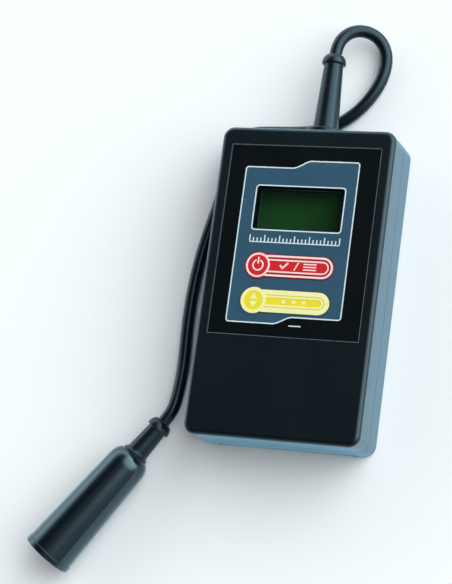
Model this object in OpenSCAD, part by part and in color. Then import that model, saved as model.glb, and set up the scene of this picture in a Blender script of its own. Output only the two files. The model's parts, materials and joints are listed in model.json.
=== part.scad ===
// Hand-held coating thickness gauge: a two-part case with a film front, a display and two
// film keys, a sliding battery door, and a round probe on a short flexible lead.
// Frame: the origin is the centre of the case's back face, +X is to the right of the display,
// +Y is towards the lead's end of the case and +Z comes out of the front. Sizes are in mm.

/* [Case] */
// Width of the case
case_w = 70; // [68:1:80]
// Length of the case without the boot
case_l = 122; // [120:1:134]
// Thickness of the case from back to front
case_t = 25; // [24.5:0.5:30]
// Thickness of the side and end walls
wall = 2; // [1.6:0.1:2.4]
// Thickness of the front wall
front_wall = 2.5; // [2.3:0.1:3]
// Thickness of the back wall
back_wall = 2.4; // [2.2:0.1:3]
// Radius of the four upright corners
corner_r = 4.5; // [4:0.5:8]
// Rounding of the front edge
front_edge_r = 2; // [0.8:0.1:2]
// Rounding of the back edge
back_edge_r = 1; // [0.5:0.1:1.5]
// Height of the parting line above the back
split_z = 11; // [10:0.5:12]
// Height of the lip that lines the two halves up
lip_h = 1.5; // [1:0.1:2]
// Thickness of that lip
lip_t = 0.9; // [0.7:0.1:1]
// Width of the fine groove along the parting line
seam = 0.2; // [0.1:0.05:0.3]

/* [Label and window] */
// Width of the recess for the film label
label_w = 61; // [56:1:62]
// Length of the recess
label_l = 76; // [74:1:80]
// Distance from the top end of the case to the recess
label_top = 7; // [6:0.5:9]
// Depth of the recess
label_depth = 0.5; // [0.4:0.05:0.6]
// Thickness of the film label
film_t = 0.4; // [0.2:0.05:0.4]
// Distance from the recess's top edge to the middle of the display
display_drop = 25.3; // [24:0.1:27]
// Width of the clear field in the film
clear_w = 34.8; // [33:0.1:37]
// Length of the clear field in the film
clear_l = 16.6; // [16:0.1:18]
// Width of the opening in the wall behind the window
sight_w = 32.8; // [30:0.1:32.9]
// Length of that opening
sight_l = 15.7; // [14:0.1:15.9]
// Thickness of the window pane
pane_t = 1.5; // [1:0.1:1.5]
// Bearing of the pane on its ledge, each side
pane_bearing = 3; // [2:0.1:3.2]

/* [Keys] */
// Distance from the recess's top edge to the middle of the upper key
key_drop = 48.2; // [47:0.1:49]
// Distance between the two keys
key_pitch = 13.8; // [13:0.1:15]
// Radius of a key's round head
key_head_r = 5.2; // [4.8:0.1:5.6]
// Half the height of a key's bar
key_bar_r = 4.4; // [3.6:0.1:4.6]
// Distance from the head's centre to the bar's end arc
key_span = 25.8; // [22:0.1:27]
// Place of the round head, left of the middle
key_head_x = 13.2; // [12:0.1:14]
// Thickness of a key pad
key_t = 0.6; // [0.5:0.05:0.8]
// Travel of a key
key_travel = 0.4; // [0.2:0.05:0.5]
// Depth of the pocket under a key
key_pocket = 1; // [0.8:0.1:1.2]
// Radius of a plunger's head
plunger_r = 2.5; // [2:0.1:3]
// Radius of a plunger's stem
stem_r = 1.7; // [1.5:0.1:2]
// Side of a tact switch
switch_w = 6; // [5.5:0.1:7]
// Height of a tact switch
switch_h = 3.5; // [3:0.1:4]

/* [Boards] */
// Depth of the main board's top below the inside of the front
board_depth = 10.5; // [10:0.1:11]
// Thickness of the circuit boards
board_t = 1.6; // [1.2:0.1:1.8]
// Gap between the main board and each side wall
board_side_gap = 3; // [2.5:0.1:4]
// Length of the display board
lcd_board_l = 32; // [30:1:34]
// Width of the display glass
glass_w = 38; // [36:1:42]
// Length of the display glass
glass_l = 20; // [18:1:21]
// Thickness of the display glass
glass_t = 2.2; // [1.8:0.1:2.4]
// Thickness of the backlight under the glass
backlight_t = 3.4; // [3:0.1:3.4]
// Sheet thickness of the display's metal frame
frame_t = 0.3; // [0.2:0.05:0.5]

/* [Battery bay] */
// Width of the block battery, along the case
battery_w = 26.5; // [25:0.5:27.5]
// Thickness of the bay's walls
bay_wall = 1.5; // [1.2:0.1:1.6]
// Width of the door's runners
runner_w = 1.8; // [1.4:0.1:1.9]

/* [Boot and lead] */
// Place of the boot, right of the middle of the case
boot_x = 2.6; // [0:0.1:4]
// Length of the boot outside the case
boot_l = 34; // [28:1:40]
// Radius of the boot at its root
boot_root_r = 5; // [4.4:0.1:5.4]
// Radius of the boot below its bead
boot_tip_r = 3.8; // [3.4:0.1:4.2]
// Radius of the bead at the boot's tip
bead_r = 4.8; // [4.4:0.1:5.5]
// Radius of the boot's outer flange
boot_flange_r = 8; // [6.5:0.1:8.5]
// Thickness of the outer flange
boot_flange_t = 2.6; // [1.5:0.1:3]
// Diameter of the lead
cable_d = 5; // [4:0.1:5]

/* [Probe] */
// Diameter of the probe body at its front
probe_d = 20; // [19:0.5:22]
// Diameter of the probe body at its shoulder
probe_rear_d = 16.4; // [15.6:0.2:18]
// Length of the probe body
probe_l = 50; // [44:1:60]
// Rounding of the rear shoulder, measured across the probe
shoulder_r = 3.5; // [2:0.1:3.6]
// Rounding of the rear shoulder, measured along the probe
shoulder_l = 6; // [3:0.5:8]
// Wall of the probe body at the shoulder
probe_wall = 2; // [1.6:0.1:2.2]
// Length of the probe's own boot
probe_boot_l = 17; // [14:1:24]
// Thickness of the front cap's rim
cap_t = 2.4; // [1.6:0.1:3]
// How far the cap's rim stands out from the body
cap_lip = 0.3; // [0.1:0.05:0.5]
// Depth of the cap's spigot in the body
spigot_l = 5; // [4:0.5:7]
// Radius of the ferrite core
core_r = 2.5; // [2:0.1:3]
// Length of the ferrite core
core_l = 14; // [12:1:18]
// Direction in which the probe points, seen from above
probe_heading = 235; // [230:1:240]
// Place of the probe's rear face, across the case
probe_x = -59.5; // [-64:0.5:-56]
// Place of the probe's rear face, along the case
probe_y = -69; // [-74:0.5:-66]

/* [Hidden] */
$fn = 64;

// Shared clearances
slide_gap = 0.1;
fit_gap = 0.2;
shell_gap = 0.3;
screw_gap = 0.05;
// Overlap that makes a cut run clean through a face
cut = 0.5;
// Corner radii of openings, of the film's clear field, of boards, glass and small moulded parts
opening_r = 0.8;
clear_r = 1.2;
board_r = 1.5;
glass_r = 0.4;
part_r = 0.5;

// Case
half_w = case_w / 2;
half_l = case_l / 2;
inner_w = case_w - 2 * wall;
inner_l = case_l - 2 * wall;
inner_r = max(corner_r - wall, part_r);
front_in = case_t - front_wall;
film_z = case_t - label_depth;

// Label, window and keys
label_y1 = half_l - label_top;
label_y = label_y1 - label_l / 2;
display_y = label_y1 - display_drop;
pane_w = sight_w + 2 * pane_bearing;
pane_l = sight_l + 2 * pane_bearing;
ok_y = label_y1 - key_drop;
function_y = ok_y - key_pitch;
key_floor = film_z - key_pocket;
guide_l = 2;
guide_t = 1.5;
stem_engaged = 2;
plunger_gap = 1.5;

// Boards, from the inside of the front downwards
board_w = inner_w - 2 * board_side_gap;
lcd_board_inset = 1;
lcd_board_w = board_w - 2 * lcd_board_inset;
main_top = front_in - board_depth;
main_under = main_top - board_t;
lcd_frame_top = front_in - slide_gap;
glass_top = lcd_frame_top - frame_t;
backlight_top = glass_top - glass_t;
lcd_board_top = backlight_top - backlight_t;
lcd_board_under = lcd_board_top - board_t;
lcd_post_inset = 2.5;
lcd_post_x = lcd_board_w / 2 - lcd_post_inset;
lcd_post_y = lcd_board_l / 2 - lcd_post_inset;
lcd_post_r = 2;
frame_w = glass_w + 2 * (frame_t + slide_gap);
frame_l = glass_l + 2 * (frame_t + slide_gap);

// Screws
screw_r = 1.2;
screw_head_r = 2.3;
screw_head_t = 1.8;
case_screw_l = 12;
board_screw_l = 6.5;
head_seat_z = 3.2;
pilot_room = 1;
boss_r = 2;
boss_x = half_w - wall - boss_r - slide_gap;
boss_inset = 6;
boss_y = half_l - boss_inset;
boss_web_t = 1.2;
boss_web_rise = 4;
boss_wall = 1;
back_boss_r = screw_head_r + fit_gap + boss_wall;
back_boss_h = 9;

// Battery bay between the screw heads, from the bottom end of the case upwards
bay_w = 2 * (boss_x - screw_head_r - slide_gap - bay_wall);
battery_room = 1.5;
bay_l = battery_w + battery_room;
bay_y0 = -half_l + wall + shell_gap + bay_wall;
bay_y1 = bay_y0 + bay_l;
bay_top = front_in - shell_gap - bay_wall;
snap_t = 2.8;
snap_l = 24;
snap_pitch = 12.7;
snap_h = 14;
snap_end_y = bay_y0 + bay_l / 2 + snap_l / 2;

// Main board, between the bay and the top end
bay_to_board = 2.7;
board_to_end = 9;
board_y0 = bay_y1 + bay_wall + bay_to_board;
board_y1 = half_l - board_to_end;
board_l = board_y1 - board_y0;
board_y = (board_y0 + board_y1) / 2;
post_r = 2.4;
post_inset = 3;
post_x = board_w / 2 - post_inset;
lead_room = 4;
post_y0 = board_y0 + post_inset + lead_room;
post_y1 = board_y1 - post_inset;

// Places of the parts on the main board
chip_drop = 6;
low_row = 10;
chip_y = display_y - chip_drop;
beside_key_y = ok_y;
below_keys_y = board_y0 + low_row;
crystal_inset = 13;
regulator_inset = 14;
buzzer_inset = 12;
capacitor_inset = 17;
crystal_x = -board_w / 2 + crystal_inset;
regulator_x = -board_w / 2 + regulator_inset;
buzzer_x = board_w / 2 - buzzer_inset;
capacitor_x = board_w / 2 - capacitor_inset;

// Door: an outer plate with a runner along each side
door_skin = 1;
door_ledge = 1;
door_t = back_wall - fit_gap;
door_w = bay_w - 2 * door_ledge;
door_y0 = -half_l;
door_y1 = bay_y1 - fit_gap;
door_l = door_y1 - door_y0;
door_y = (door_y0 + door_y1) / 2;

// Battery leads, side by side on the board's top
wire_r = 0.5;
wire_to_wall = 0.25;
wire_x = -bay_w / 2 + wire_r + wire_to_wall;
wire_pitch = 1.3;
wire_z = main_top + wire_r;
wire_on_board = 3;

// Boot in the top wall, and the wires from the lead's end to the board
boot_z = case_t / 2;
boot_neck_r = 4;
boot_inner_r = 5.5;
boot_inner_t = 1.8;
cable_r = cable_d / 2;
boot_bore_r = cable_r + slide_gap + screw_gap;
bead_l = 4;
probe_wire_rise = 1.2;

// Probe, tilted so that its cap's rim and its shoulder both lie on the ground
probe_front_r = probe_d / 2;
probe_rear_r = probe_rear_d / 2;
rim_r = probe_front_r + cap_lip;
probe_lean = asin((rim_r - probe_rear_r) / (probe_l - shoulder_l));
probe_bore_r = probe_rear_r - probe_wall;
probe_back_t = 3;
probe_z = probe_rear_r * cos(probe_lean) - shoulder_l * sin(probe_lean);
probe_origin = [probe_x, probe_y, probe_z];
probe_axis = [cos(probe_lean) * cos(probe_heading), cos(probe_lean) * sin(probe_heading),
    sin(probe_lean)];
probe_boot_root_r = 4.4;
probe_flange_t = 1;
bobbin_r = probe_bore_r - fit_gap;
bobbin_over = 2;
bobbin_l = core_l - spigot_l + bobbin_over;
bobbin_flange = 1;
bobbin_hub_r = core_r + bobbin_flange;
coil_inset = 0.4;
coil_r = bobbin_r - coil_inset;
core_s = probe_l - core_l;
bobbin_s = probe_l - spigot_l - bobbin_l;

// Guide points of the lead's route. Third values are heights, as a part of the rise from the ground
// to the boot or to the probe.
// From the boot's tip, in a loop down to the ground
loop_route = [
    [1.2, 7.2, 0.93], [4.6, 11.1, 0.75], [9.2, 12.5, 0.5], [13.9, 11.1, 0.25], [17.2, 7.2, 0.07],
    [18.5, 2, 0], [18, -3.7, 0], [16.3, -9, 0], [13.5, -14, 0], [9.9, -18.7, 0]];
// Under the boot and along the top end, measured from the boot's root
top_route = [
    [5.4, 11.2], [0.2, 8], [-5.6, 5.9], [-12, 5], [-20, 4.7]];
// Round the corner and along the left side, measured from the case's top left corner
side_route = [
    [6.5, 4.7], [1.2, 3.3], [-2.6, -0.5], [-4, -5.8], [-4.2, -11.5], [-4.8, -18], [-6.6, -28],
    [-9.2, -39], [-11.1, -50], [-12, -61], [-12.3, -71], [-12.1, -80], [-11.7, -88]];
// Up to the probe's boot, measured from the probe's rear face
rise_route = [
    [13.1, 35.5, 0.16], [13.4, 29, 0.51], [13.4, 23.6, 0.8], [12.8, 19.4, 0.93]];

function probe_point(s) = probe_origin + s * probe_axis;
function boot_point(s) = [boot_x, half_l + s, boot_z];
tip_run = 2;
boot_rise = boot_z - cable_r;
probe_rise = probe_point(-probe_boot_l - tip_run).z - cable_r;
lead_route = concat(
    [for (p = loop_route) [boot_x + p.x, half_l + boot_l + p.y, cable_r + p.z * boot_rise]],
    [for (p = top_route) [boot_x + p.x, half_l + p.y, cable_r]],
    [for (p = side_route) [p.x - half_w, half_l + p.y, cable_r]],
    [for (p = rise_route) [probe_x + p.x, probe_y + p.y, cable_r + p.z * probe_rise]]);
lead_stub = 1;
lead_start = -wall - boot_inner_t - lead_stub;
lead_end = probe_back_t + 2 * lead_stub;
// The curve meets its ends exactly, because the last two guide points lie either side of each end
end_run = 2;
guide_step = 9;
lead_points = concat(
    [boot_point(lead_start - end_run), boot_point(lead_start + 5 * end_run)],
    [for (k = [2 : -1 : 0]) boot_point(boot_l + tip_run - k * guide_step)],
    lead_route,
    [probe_point(-probe_boot_l - tip_run)],
    [probe_point(lead_end - 5 * end_run), probe_point(lead_end + end_run)]);

// A smooth curve that follows guide points: one point beside each of them and one midway to the next
function at_end(i, n) = max(0, min(n - 1, i));
function beside(p, i) = let (n = len(p)) (p[at_end(i - 1, n)] + 4 * p[i] + p[at_end(i + 1, n)]) / 6;
function midway(p, i) = let (n = len(p)) (p[at_end(i - 1, n)] + 23 * (p[i] + p[i + 1])
    + p[at_end(i + 2, n)]) / 48;
function smooth_curve(p) = concat(
    [for (i = [0 : len(p) - 2], k = [0, 1]) k == 0 ? beside(p, i) : midway(p, i)],
    [beside(p, len(p) - 1)]);
function unit(v) = v / norm(v);

// A tube of the given radius along a list of points
module tube(p, r, sides) {
    n = len(p);
    rings = [for (i = [0 : n - 1])
        let (t = unit(p[at_end(i + 1, n)] - p[at_end(i - 1, n)]))
        let (a = unit(cross(t, [0, 0, 1])))
        let (b = cross(a, t))
        for (k = [0 : sides - 1])
            p[i] + r * (cos(360 * k / sides) * a + sin(360 * k / sides) * b)];
    sleeve = [for (i = [0 : n - 2], k = [0 : sides - 1])
        let (m = (k + 1) % sides)
        [i * sides + k, (i + 1) * sides + k, (i + 1) * sides + m, i * sides + m]];
    start_face = [for (k = [0 : sides - 1]) k];
    end_face = [for (k = [sides - 1 : -1 : 0]) (n - 1) * sides + k];
    polyhedron(points = rings, faces = concat([start_face], sleeve, [end_face]));
}

// Basic forms
module rounded_rect(w, l, r) {
    square([w - 2 * r, l], center = true);
    square([w, l - 2 * r], center = true);
    for (x = [-1, 1], y = [-1, 1])
        translate([x * (w / 2 - r), y * (l / 2 - r)]) circle(r);
}

module block(w, l, h, r) {
    linear_extrude(h) rounded_rect(w, l, r);
}

// A block whose upper edge is rounded all the way round
module soft_block(w, l, h, r, edge) {
    block(w, l, h - edge, r);
    block(w - 2 * edge, l - 2 * edge, h, r - edge);
    translate([0, 0, h - edge]) {
        for (x = [-1, 1]) translate([x * (w / 2 - edge), 0, 0])
            rotate([90, 0, 0]) cylinder(r = edge, h = l - 2 * r, center = true);
        for (y = [-1, 1]) translate([0, y * (l / 2 - edge), 0])
            rotate([0, 90, 0]) cylinder(r = edge, h = w - 2 * r, center = true);
        for (k = [0 : 3]) {
            sx = k == 0 || k == 3 ? 1 : -1;
            sy = k < 2 ? 1 : -1;
            translate([sx * (w / 2 - r), sy * (l / 2 - r), 0]) rotate([0, 0, 90 * k])
                rotate_extrude(angle = 90) translate([r - edge, 0]) circle(edge);
        }
    }
}

module at_corners(x, y) {
    for (i = [-1, 1], j = [-1, 1]) translate([i * x, j * y, 0]) children();
}

module at_board_posts() {
    for (x = [-post_x, post_x], y = [post_y0, post_y1]) translate([x, y, 0]) children();
}

module key_outline(grow) {
    translate([-key_head_x, 0]) {
        circle(key_head_r + grow);
        translate([0, -key_bar_r - grow]) square([key_span, 2 * (key_bar_r + grow)]);
        translate([key_span, 0]) circle(key_bar_r + grow);
    }
}

module at_keys() {
    for (y = [ok_y, function_y]) translate([0, y, 0]) children();
}

module lead_hole() {
    translate([boot_x, half_l + cut, boot_z]) rotate([90, 0, 0])
        cylinder(r = boot_neck_r + slide_gap, h = wall + 2 * cut);
}

// Front half of the case: film recess, window ledge, key pockets, screw bosses and board posts
module front_body() {
    difference() {
        translate([0, 0, split_z]) soft_block(case_w, case_l, case_t - split_z, corner_r, front_edge_r);
        translate([0, 0, split_z - cut]) block(inner_w, inner_l, front_in - split_z + cut, inner_r);
        translate([0, 0, split_z - cut])
            block(inner_w + 2 * (lip_t + slide_gap), inner_l + 2 * (lip_t + slide_gap),
                lip_h + slide_gap + cut, inner_r + lip_t + slide_gap);
        translate([0, 0, split_z - cut]) linear_extrude(seam + cut) difference() {
            square([case_w + 2, case_l + 2], center = true);
            rounded_rect(case_w - 2 * seam, case_l - 2 * seam, corner_r - seam);
        }
    }
}

module front_fixings() {
    web_z = split_z + boss_web_rise;
    at_corners(boss_x, boss_y) translate([0, 0, back_boss_h + slide_gap])
        cylinder(r = boss_r, h = front_in - back_boss_h - slide_gap + cut);
    for (x = [-1, 1], y = [-1, 1])
        translate([x * (boss_x + half_w - wall) / 2, y * boss_y, (web_z + front_in + cut) / 2])
            cube([half_w - wall - boss_x + cut, boss_web_t, front_in + cut - web_z], center = true);
    at_board_posts() translate([0, 0, main_top]) cylinder(r = post_r, h = front_in + cut - main_top);
    translate([0, display_y, lcd_board_top]) at_corners(lcd_post_x, lcd_post_y)
        cylinder(r = lcd_post_r, h = front_in + cut - lcd_board_top);
    at_keys() translate([0, 0, front_in - guide_l]) cylinder(r = plunger_r + guide_t, h = guide_l + cut);
}

module front_shell() {
    color("#1d2024") difference() {
        union() {
            front_body();
            front_fixings();
        }
        translate([0, label_y, film_z]) block(label_w, label_l, label_depth + cut, opening_r);
        translate([0, display_y, film_z - pane_t])
            block(pane_w + 2 * fit_gap, pane_l + 2 * fit_gap, pane_t + cut, opening_r);
        translate([0, display_y, front_in - cut]) block(sight_w, sight_l, front_wall, opening_r);
        at_keys() {
            translate([0, 0, key_floor]) linear_extrude(key_pocket + cut) key_outline(fit_gap);
            translate([0, 0, front_in - guide_l - cut])
                cylinder(r = plunger_r + slide_gap, h = front_wall + guide_l);
        }
        at_corners(boss_x, boss_y) translate([0, 0, back_boss_h])
            cylinder(r = screw_r + screw_gap, h = head_seat_z + case_screw_l + pilot_room - back_boss_h);
        at_board_posts() translate([0, 0, main_top - cut])
            cylinder(r = screw_r + screw_gap, h = board_screw_l - board_t + pilot_room + cut);
        lead_hole();
    }
}

// Back half of the case: lip, battery bay, door runners and screw bosses
module back_body() {
    difference() {
        mirror([0, 0, 1]) translate([0, 0, -split_z])
            soft_block(case_w, case_l, split_z, corner_r, back_edge_r);
        translate([0, 0, back_wall]) block(inner_w, inner_l, split_z, inner_r);
    }
    translate([0, 0, split_z - cut]) linear_extrude(lip_h + cut) difference() {
        rounded_rect(inner_w + 2 * lip_t, inner_l + 2 * lip_t, inner_r + lip_t);
        rounded_rect(inner_w, inner_l, inner_r);
    }
    intersection() {
        block(inner_w + wall, inner_l + wall, back_boss_h, inner_r + wall / 2);
        at_corners(boss_x, boss_y) cylinder(r = back_boss_r, h = back_boss_h);
    }
}

module bay_walls() {
    outer_l = bay_l + 2 * bay_wall;
    translate([-bay_w / 2 - bay_wall, bay_y0 - bay_wall, 0])
        cube([bay_w + 2 * bay_wall, outer_l, bay_top + bay_wall]);
    translate([-bay_w / 2 - bay_wall, -half_l + wall / 2, back_wall])
        cube([bay_w + 2 * bay_wall, wall, split_z - back_wall]);
}

module back_shell() {
    color("#191c20") difference() {
        union() {
            back_body();
            bay_walls();
        }
        translate([-bay_w / 2, bay_y0, back_wall - cut]) cube([bay_w, bay_l, bay_top - back_wall + cut]);
        translate([-door_w / 2 - fit_gap, -half_l - cut, -cut])
            cube([door_w + 2 * fit_gap, door_l + fit_gap + cut, back_wall + cut]);
        translate([-door_w / 2 - runner_w - fit_gap, -half_l - cut, door_skin])
            cube([door_w + 2 * (runner_w + fit_gap), door_l + fit_gap + cut, back_wall - door_skin]);
        at_corners(boss_x, boss_y) {
            translate([0, 0, -cut]) cylinder(r = screw_head_r + fit_gap, h = head_seat_z + cut);
            cylinder(r = screw_r + fit_gap, h = back_boss_h + cut);
        }
        translate([wire_x - wire_r - fit_gap, bay_y1 - cut, wire_z - wire_r - fit_gap])
            cube([wire_pitch + 2 * (wire_r + fit_gap), bay_wall + 2 * cut, 2 * (wire_r + fit_gap)]);
        lead_hole();
    }
}

// Battery door: slides off over the bottom end, with a ribbed thumb recess in its outer face
module battery_door() {
    grip_w = 18;
    grip_l = 12;
    grip_r = 3;
    grip_depth = 0.7;
    rib_w = 0.9;
    rib_pitch = 2.2;
    rib_inset = 2;
    color("#1b1e22") difference() {
        union() {
            translate([-door_w / 2, door_y0, 0]) cube([door_w, door_l, door_t]);
            translate([-door_w / 2 - runner_w, door_y0 + back_edge_r, door_skin + slide_gap])
                cube([door_w + 2 * runner_w, door_l - back_edge_r, door_t - door_skin - slide_gap]);
        }
        translate([0, door_y, -cut]) linear_extrude(grip_depth + cut) difference() {
            rounded_rect(grip_w, grip_l, grip_r);
            for (k = [-2 : 2]) translate([0, k * rib_pitch])
                square([grip_w - 2 * rib_inset, rib_w], center = true);
        }
        translate([0, -half_l, 0]) rotate([45, 0, 0])
            cube([case_w, back_edge_r, back_edge_r], center = true);
    }
}

// Film label with a clear field for the display and an opening round each key
module front_label() {
    color("#0e0f12") translate([0, 0, film_z]) linear_extrude(film_t) difference() {
        translate([0, label_y])
            rounded_rect(label_w - 2 * fit_gap, label_l - 2 * fit_gap, opening_r - fit_gap);
        translate([0, display_y]) rounded_rect(clear_w, clear_l, clear_r);
        at_keys() key_outline(fit_gap);
    }
}

module display_window() {
    color("#9fb3a8", 0.5) translate([0, display_y, film_z - pane_t])
        block(pane_w, pane_l, pane_t, opening_r - fit_gap);
}

// Keys, plungers and switches
module key_pad() {
    translate([0, 0, film_z]) linear_extrude(key_t) key_outline(0);
}

module ok_key() {
    color("#c4161c") translate([0, ok_y, 0]) key_pad();
}

module function_key() {
    color("#e3d21f") translate([0, function_y, 0]) key_pad();
}

module plunger() {
    stem_z = main_top + switch_h - stem_engaged;
    head_z = main_top + switch_h + plunger_gap;
    translate([0, 0, stem_z]) cylinder(r = stem_r, h = head_z - stem_z + cut);
    translate([0, 0, head_z]) cylinder(r = plunger_r, h = film_z - head_z);
}

module ok_plunger() {
    color("#e9e7df") translate([0, ok_y, 0]) plunger();
}

module function_plunger() {
    color("#e9e7df") translate([0, function_y, 0]) plunger();
}

module tact_switch() {
    leg_w = 0.8;
    leg_t = 0.6;
    leg_out = 0.8;
    well = stem_engaged + key_travel + fit_gap;
    translate([0, 0, main_top]) difference() {
        union() {
            block(switch_w, switch_w, switch_h, part_r);
            for (x = [-1, 1]) translate([x * switch_w / 4, 0, leg_t / 2])
                cube([leg_w, switch_w + 2 * leg_out, leg_t], center = true);
        }
        translate([0, 0, switch_h - well])
            cylinder(r = stem_r + screw_gap, h = well + cut);
    }
}

module ok_switch() {
    color("#2b2b2e") translate([0, ok_y, 0]) tact_switch();
}

module function_switch() {
    color("#2b2b2e") translate([0, function_y, 0]) tact_switch();
}

// Display module
module lcd_frame() {
    tab_w = 3;
    tab_l = 1.6;
    tab_x = frame_w / 2 - 2 * tab_w;
    rim_back = 0.5;
    color("#26282b") translate([0, display_y, 0]) {
        difference() {
            translate([0, 0, lcd_board_top])
                block(frame_w, frame_l, lcd_frame_top - lcd_board_top, glass_r + fit_gap);
            translate([0, 0, lcd_board_top - cut])
                block(frame_w - 2 * frame_t, frame_l - 2 * frame_t,
                    glass_top - lcd_board_top + cut, glass_r);
            translate([0, 0, glass_top - cut])
                block(sight_w + 2 * rim_back, sight_l + 2 * rim_back, frame_t + 2 * cut, opening_r);
        }
        for (x = [-tab_x, tab_x], y = [-1, 1])
            translate([x, y * (frame_l / 2 + tab_l / 2 - slide_gap), lcd_board_top + frame_t / 2])
                cube([tab_w, tab_l, frame_t], center = true);
    }
}

module lcd_glass() {
    color("#2f4a2a") translate([0, display_y, backlight_top]) block(glass_w, glass_l, glass_t, glass_r);
}

module lcd_backlight() {
    color("#d9dccb") translate([0, display_y, lcd_board_top])
        block(glass_w, glass_l, backlight_t, glass_r);
}

module lcd_board() {
    color("#1f5b3a") translate([0, display_y, lcd_board_under])
        block(lcd_board_w, lcd_board_l, board_t, board_r);
}

module display_header() {
    pins = 14;
    pin_pitch = 2.54;
    header_l = 2.4;
    pin_gap = 0.6;
    bar_l = 2;
    header_y = display_y + lcd_board_l / 2 - lcd_post_inset;
    color("#17181a") translate([0, header_y, main_top]) {
        translate([-pins * pin_pitch / 2, -bar_l / 2, 0])
            cube([pins * pin_pitch, bar_l, lcd_board_under - main_top]);
        for (k = [0 : pins - 1])
            translate([(k - (pins - 1) / 2) * pin_pitch, 0, (lcd_board_under - main_top) / 2])
                cube([pin_pitch - pin_gap, header_l, lcd_board_under - main_top], center = true);
    }
}

// Main board and its components
module main_board() {
    color("#1d6b3f") difference() {
        translate([0, board_y, main_under]) block(board_w, board_l, board_t, board_r);
        at_board_posts() translate([0, 0, main_under - cut])
            cylinder(r = screw_r + fit_gap, h = board_t + 2 * cut);
    }
}

module microcontroller() {
    chip_w = 10;
    chip_h = 1.2;
    pins = 8;
    pin_pitch = 1;
    pin_w = 0.4;
    pin_out = 1;
    color("#202124") translate([0, chip_y, main_top]) {
        block(chip_w, chip_w, chip_h, part_r);
        for (turn = [0, 90], k = [0 : pins - 1])
            rotate([0, 0, turn]) translate([(k - (pins - 1) / 2) * pin_pitch, 0, pin_w / 2])
                cube([pin_w, chip_w + 2 * pin_out, pin_w], center = true);
    }
}

module crystal() {
    can_w = 11;
    can_l = 4.6;
    can_h = 3.4;
    rim_t = 0.5;
    rim_out = 0.4;
    end_flat = 0.01;
    color("#c9cccf") translate([crystal_x, beside_key_y, main_top]) {
        block(can_w, can_l, rim_t, can_l / 2 - end_flat);
        block(can_w - 2 * rim_out, can_l - 2 * rim_out, can_h, can_l / 2 - rim_out - end_flat);
    }
}

module regulator() {
    body_r = 2.4;
    body_h = 4.6;
    flat_y = 1.3;
    lift = 1.5;
    leg_w = 0.5;
    leg_pitch = 1.27;
    color("#1a1a1c") translate([regulator_x, below_keys_y, main_top]) {
        translate([0, 0, lift]) linear_extrude(body_h) intersection() {
            circle(body_r);
            translate([-body_r, -body_r]) square([2 * body_r, body_r + flat_y]);
        }
        for (k = [-1 : 1]) translate([k * leg_pitch, 0, (lift + cut) / 2])
            cube([leg_w, leg_w, lift + cut], center = true);
    }
}

module capacitor() {
    can_r = 3.1;
    can_h = 8;
    crimp_z = 1.2;
    crimp_r = 0.5;
    color("#20303f") translate([capacitor_x, below_keys_y, main_top]) difference() {
        cylinder(r = can_r, h = can_h);
        translate([0, 0, crimp_z]) rotate_extrude() translate([can_r + crimp_r / 2, 0]) circle(crimp_r);
    }
}

module buzzer() {
    can_r = 6;
    can_h = 8;
    port_r = 1;
    port_depth = 2;
    color("#141416") translate([buzzer_x, beside_key_y, main_top]) difference() {
        cylinder(r = can_r, h = can_h);
        translate([0, 0, can_h - port_depth]) cylinder(r = port_r, h = port_depth + cut);
    }
}

// Socket at the board's top edge and the three wires that join it to the lead
module probe_socket() {
    socket_w = 10;
    socket_l = 6;
    socket_h = 5;
    socket_wall = 1;
    color("#e6e2d3") translate([boot_x, board_y1 - socket_l / 2, main_top]) difference() {
        block(socket_w, socket_l, socket_h, part_r);
        translate([0, 0, socket_h / 2])
            block(socket_w - 2 * socket_wall, socket_l - 2 * socket_wall, socket_h, part_r - fit_gap);
    }
}

module probe_leads() {
    color("#b5482f") for (k = [-1 : 1])
        translate([boot_x + k * wire_pitch, board_y1, boot_z + probe_wire_rise]) rotate([-90, 0, 0])
            cylinder(r = wire_r, h = half_l + lead_start - board_y1);
}

// Snap contacts at the left end of the bay, and their two leads
module battery_snap() {
    stud_h = 2.6;
    stud_r = 2.8;
    cup_r = 4;
    cup_wall = 1;
    cup_floor = 0.6;
    color("#23262a") translate([-bay_w / 2, bay_y0 + bay_l / 2, bay_top - snap_h / 2]) {
        translate([snap_t / 2, 0, 0]) cube([snap_t, snap_l, snap_h], center = true);
        translate([snap_t - cut, -snap_pitch / 2, 0]) rotate([0, 90, 0])
            cylinder(r = stud_r, h = stud_h + cut);
        translate([snap_t - cut, snap_pitch / 2, 0]) rotate([0, 90, 0]) difference() {
            cylinder(r = cup_r, h = stud_h + cut);
            translate([0, 0, cut + cup_floor]) cylinder(r = cup_r - cup_wall, h = stud_h);
        }
    }
}

module battery_leads() {
    color("#b02a22") for (k = [0, 1])
        translate([wire_x + k * wire_pitch, snap_end_y, wire_z]) rotate([-90, 0, 0])
            cylinder(r = wire_r, h = board_y0 + wire_on_board - snap_end_y);
}

// Screws, each with a cross recess in its head
module screw(shank_l) {
    cross_l = 2.6;
    cross_w = 0.6;
    cross_depth = 0.8;
    mirror([0, 0, 1]) difference() {
        cylinder(r = screw_head_r, h = screw_head_t);
        for (turn = [0, 90]) rotate([0, 0, turn])
            translate([0, 0, screw_head_t]) cube([cross_l, cross_w, 2 * cross_depth], center = true);
    }
    translate([0, 0, -cut]) cylinder(r = screw_r, h = shank_l + cut);
}

module case_screws() {
    color("#3a3d40") at_corners(boss_x, boss_y) translate([0, 0, head_seat_z]) screw(case_screw_l);
}

module board_screws() {
    color("#a9adb0") at_board_posts() translate([0, 0, main_under]) screw(board_screw_l);
}

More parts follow.
